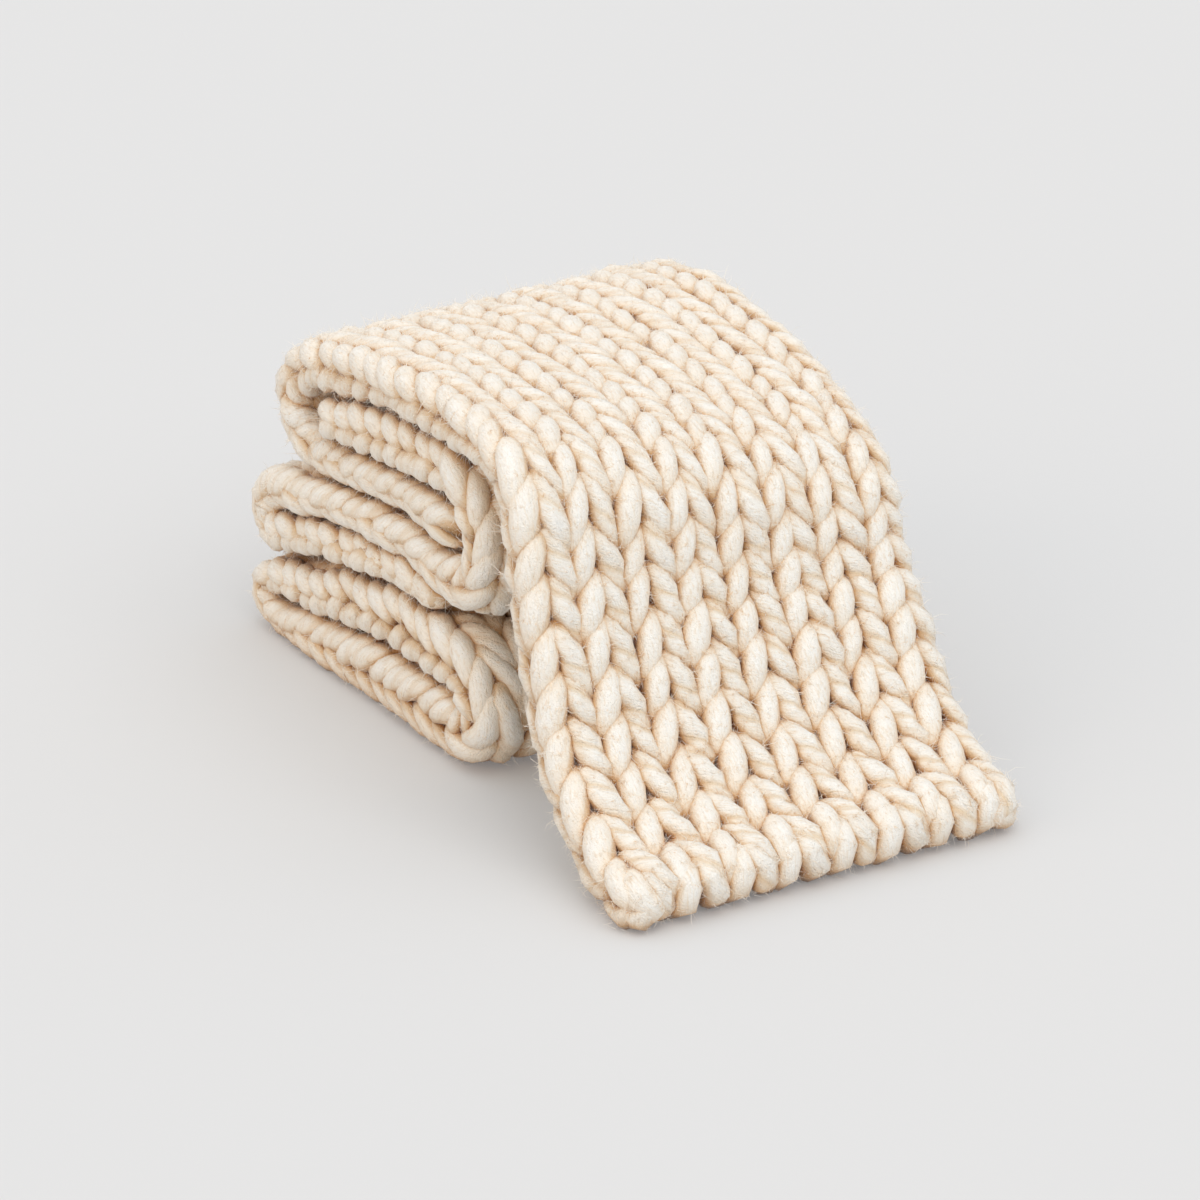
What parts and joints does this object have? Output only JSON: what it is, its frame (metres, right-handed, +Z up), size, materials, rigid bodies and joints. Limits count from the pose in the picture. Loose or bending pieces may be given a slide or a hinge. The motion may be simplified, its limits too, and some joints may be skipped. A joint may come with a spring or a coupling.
{
  "type": "folded knit scarf",
  "caption": "Chunky knit wool scarf folded in a low pile, its top layer draping down over the front to a flat hem on the surface.",
  "frame": {"origin": "middle of the bounding box's footprint, on the surface that the scarf lies on", "axes": "+X runs along the folds, from the back fold of the pile to the hem of the drape; +Y runs across the cloth, away from the side where the folded layers show best; +Z is up"},
  "size_m": [0.3848, 0.2162, 0.1782],
  "materials": {
    "wool": "soft matt cream wool, thick loosely twisted yarn knitted in stocking stitch, with a halo of short fibres and darker tan in the hollows between the stitches"
  },
  "bodies": {
    "root": {"drape": "wool", "top_layer": "wool", "tucked_run": "wool", "middle_layers": "wool", "front_turn": "wool", "bottom_layers": "wool"}
  },
  "joints": []
}
